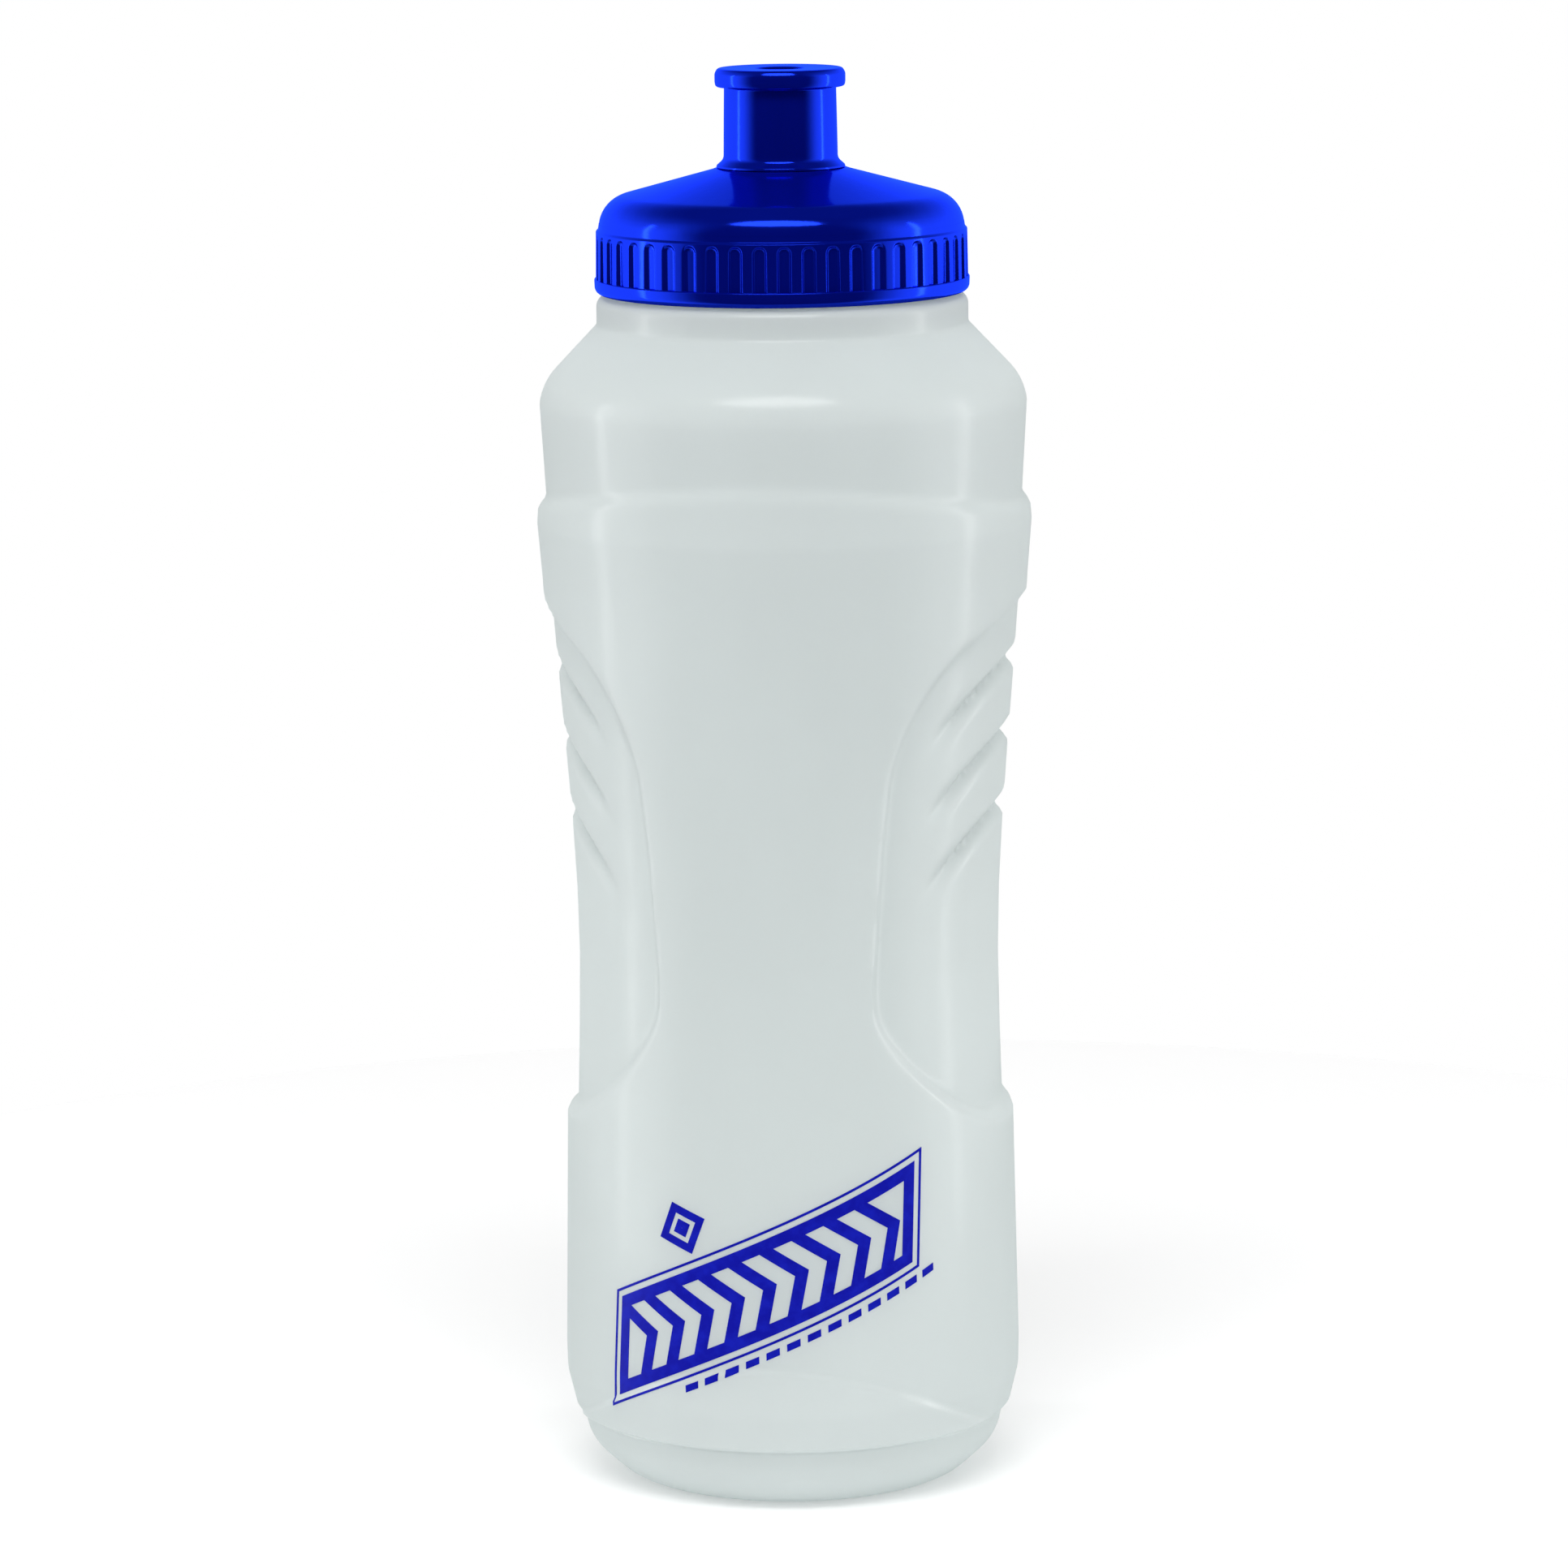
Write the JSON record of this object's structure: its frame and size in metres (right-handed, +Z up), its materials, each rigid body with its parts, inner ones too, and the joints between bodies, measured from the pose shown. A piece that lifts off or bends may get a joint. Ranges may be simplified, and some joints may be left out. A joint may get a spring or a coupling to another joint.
{
  "type": "sports squeeze bottle",
  "caption": "Wide-mouth squeeze bottle with recessed side grips, finger grooves and a wavy waist, closed by a slotted screw lid with a push-pull drinking spout.",
  "frame": {"origin": "centre of the base, on the plane of the standing ring", "axes": "+Z up along the bottle's axis, -Y towards the printed front, +X and -X through the two side grips"},
  "size_m": [0.088, 0.088, 0.253],
  "materials": {
    "milky_plastic": "satin, milky translucent blow-moulded soft plastic",
    "blue_plastic": "glossy saturated blue moulded plastic",
    "seal": "soft pale sealing ring"
  },
  "bodies": {
    "bottle": {"bottle": "milky_plastic"},
    "gasket": {"lid_gasket": "seal"},
    "lid": {"lid": "blue_plastic"},
    "spout": {"spout": "blue_plastic"}
  },
  "joints": [
    {"name": "lid_lift", "type": "slide", "parent": "bottle", "child": "gasket", "axis": [0, 0, 1], "range_m": [0, 0.0064]},
    {"name": "lid_turn", "type": "hinge", "parent": "gasket", "child": "lid", "pos_m": [0, 0, 0.2242], "axis": [0, 0, 1], "range_deg": [0, 540]},
    {"name": "spout_pull", "type": "slide", "parent": "lid", "child": "spout", "axis": [0, 0, 1], "range_m": [0, 0.006]}
  ],
  "couplings": [
    {"joint": "lid_lift", "follows": "lid_turn", "m_per_rad": 0.00066845}
  ]
}
